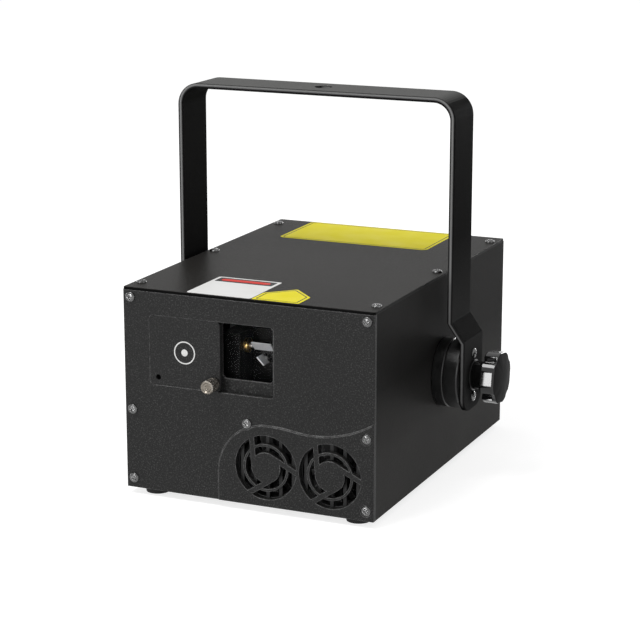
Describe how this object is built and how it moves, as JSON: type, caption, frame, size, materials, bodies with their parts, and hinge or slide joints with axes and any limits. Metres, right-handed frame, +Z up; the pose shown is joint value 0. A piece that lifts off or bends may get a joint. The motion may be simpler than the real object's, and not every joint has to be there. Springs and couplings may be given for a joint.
{
  "type": "laser show projector",
  "caption": "Box-shaped stage laser projector in a bent flat-bar tilt bracket, with a sliding aperture shutter, galvo scanner, cooling fans and rear connectors.",
  "frame": {"origin": "on the standing surface, in the middle of the whole object's box", "axes": "+Z up, -Y out of the front with the aperture, +X to the right seen from the front"},
  "size_m": [0.2978, 0.312, 0.2945],
  "materials": {
    "case_coat": "fine black powder coat on aluminium sheet",
    "front_coat": "textured black powder coat on aluminium plate",
    "bracket_coat": "satin black powder coat on steel bar",
    "screw_steel": "bright zinc-plated steel",
    "stud_steel": "plain steel",
    "nickel": "knurled, nickel plated",
    "disc_plastic": "black moulded friction disc",
    "knob_plastic": "glossy black moulded plastic",
    "foot_rubber": "black rubber",
    "window_glass": "clear coated glass",
    "dark_anodised": "black anodised",
    "plain_aluminium": "machined aluminium",
    "brass": "turned brass",
    "mirror": "dielectric mirror",
    "board": "green solder mask",
    "fan_plastic": "black moulded plastic",
    "guard_steel": "black painted steel sheet",
    "supply_steel": "zinc-plated sheet steel",
    "fitting_plastic": "black moulded plastic",
    "button_plastic": "grey moulded plastic",
    "display_plastic": "dark tinted acrylic",
    "eye_steel": "black painted steel"
  },
  "bodies": {
    "case": {"case_screws": "screw_steel", "rubber_feet": "foot_rubber", "foot_screws": "screw_steel", "bottom_plate": "case_coat", "side_panel_left": "case_coat", "side_panel_right": "case_coat", "top_cover": "case_coat", "front_panel": "front_coat", "fan_guard": "guard_steel", "fan_frames": "fan_plastic", "fan_screws": "screw_steel", "aperture_plate": "front_coat", "aperture_glass": "window_glass", "tilt_disc_left": "disc_plastic", "tilt_disc_right": "disc_plastic", "tilt_nuts": "stud_steel", "optics_plate": "plain_aluminium", "galvo_mount": "dark_anodised", "galvo_motors": "dark_anodised", "galvo_rings": "brass", "laser_red": "plain_aluminium", "laser_green": "plain_aluminium", "laser_blue": "plain_aluminium", "mirror_holders": "plain_aluminium", "beam_mirrors": "mirror", "power_supply": "supply_steel", "power_inlet": "fitting_plastic", "power_switch": "fitting_plastic", "signal_sockets": "fitting_plastic", "control_connector": "fitting_plastic", "key_switch": "nickel", "display_window": "display_plastic", "safety_eye": "eye_steel", "circuit_boards": "board", "rear_panel": "case_coat"},
    "bracket_body": {"bracket": "bracket_coat", "friction_disc_left": "disc_plastic", "friction_disc_right": "disc_plastic", "bracket_screws": "screw_steel"},
    "washer_left": {"knob_washer_left": "stud_steel"},
    "washer_right": {"knob_washer_right": "stud_steel"},
    "clamp_left": {"knob_left": "knob_plastic", "clamp_stud_left": "stud_steel"},
    "clamp_right": {"knob_right": "knob_plastic", "clamp_stud_right": "stud_steel"},
    "shutter": {"shutter_plate": "front_coat"},
    "collar": {"thumb_collar": "nickel"},
    "thumb": {"thumbscrew": "nickel"},
    "scanner_x": {"scan_shaft_x": "stud_steel", "scan_mirror_x": "mirror"},
    "scanner_y": {"scan_shaft_y": "stud_steel", "scan_mirror_y": "mirror"},
    "rotor_left": {"fan_rotor_left": "fan_plastic"},
    "rotor_right": {"fan_rotor_right": "fan_plastic"},
    "rocker": {"power_rocker": "fitting_plastic"},
    "key_body": {"key": "nickel"},
    "button_up": {"menu_button_up": "button_plastic"},
    "button_down": {"menu_button_down": "button_plastic"},
    "button_back": {"menu_button_back": "button_plastic"},
    "button_enter": {"menu_button_enter": "button_plastic"}
  },
  "joints": [
    {"name": "bracket_tilt", "type": "hinge", "parent": "case", "child": "bracket_body", "pos_m": [0, -0.0065, 0.0825], "axis": [1, 0, 0], "range_deg": [-105, 105]},
    {"name": "knob_left_travel", "type": "slide", "parent": "case", "child": "washer_left", "axis": [-1, 0, 0], "range_m": [0, 0.00249]},
    {"name": "knob_left_turn", "type": "hinge", "parent": "washer_left", "child": "clamp_left", "pos_m": [-0.1257, -0.0065, 0.0825], "axis": [-1, 0, 0], "range_deg": [0, 720]},
    {"name": "knob_right_travel", "type": "slide", "parent": "case", "child": "washer_right", "axis": [1, 0, 0], "range_m": [0, 0.00249]},
    {"name": "knob_right_turn", "type": "hinge", "parent": "washer_right", "child": "clamp_right", "pos_m": [0.1257, -0.0065, 0.0825], "axis": [1, 0, 0], "range_deg": [0, 720]},
    {"name": "shutter_slide", "type": "slide", "parent": "case", "child": "shutter", "axis": [1, 0, 0], "range_m": [0, 0.0426]},
    {"name": "thumbscrew_travel", "type": "slide", "parent": "shutter", "child": "collar", "axis": [0, -1, 0], "range_m": [0, 0.00139]},
    {"name": "thumbscrew_turn", "type": "hinge", "parent": "collar", "child": "thumb", "pos_m": [-0.02645, -0.144, 0.0935], "axis": [0, -1, 0], "range_deg": [0, 720]},
    {"name": "scan_x_swing", "type": "hinge", "parent": "case", "child": "scanner_x", "pos_m": [-0.00005, -0.116, 0.1075], "axis": [0, 1, 0], "range_deg": [-15, 15]},
    {"name": "scan_y_swing", "type": "hinge", "parent": "case", "child": "scanner_y", "pos_m": [-0.00005, -0.116, 0.1175], "axis": [1, 0, 0], "range_deg": [-15, 15]},
    {"name": "fan_left_spin", "type": "hinge", "parent": "case", "child": "rotor_left", "pos_m": [0.0153, -0.1388, 0.0352], "axis": [0, 1, 0], "continuous": true},
    {"name": "fan_right_spin", "type": "hinge", "parent": "case", "child": "rotor_right", "pos_m": [0.066, -0.1388, 0.0352], "axis": [0, 1, 0], "continuous": true},
    {"name": "power_rocker_tilt", "type": "hinge", "parent": "case", "child": "rocker", "pos_m": [-0.016, 0.131, 0.0355], "axis": [1, 0, 0], "range_deg": [0, 20]},
    {"name": "key_turn", "type": "hinge", "parent": "case", "child": "key_body", "pos_m": [0.016, 0.131, 0.1075], "axis": [0, 1, 0], "range_deg": [0, 90]},
    {"name": "menu_up_press", "type": "slide", "parent": "case", "child": "button_up", "axis": [0, -1, 0], "range_m": [0, 0.001], "stiffness_N_per_m": 400},
    {"name": "menu_down_press", "type": "slide", "parent": "case", "child": "button_down", "axis": [0, -1, 0], "range_m": [0, 0.001], "stiffness_N_per_m": 400},
    {"name": "menu_back_press", "type": "slide", "parent": "case", "child": "button_back", "axis": [0, -1, 0], "range_m": [0, 0.001], "stiffness_N_per_m": 400},
    {"name": "menu_enter_press", "type": "slide", "parent": "case", "child": "button_enter", "axis": [0, -1, 0], "range_m": [0, 0.001], "stiffness_N_per_m": 400}
  ],
  "couplings": [
    {"joint": "knob_left_turn", "follows": "knob_left_travel", "rad_per_m": 5026.6},
    {"joint": "knob_right_turn", "follows": "knob_right_travel", "rad_per_m": 5026.6},
    {"joint": "thumbscrew_turn", "follows": "thumbscrew_travel", "rad_per_m": 8976}
  ]
}
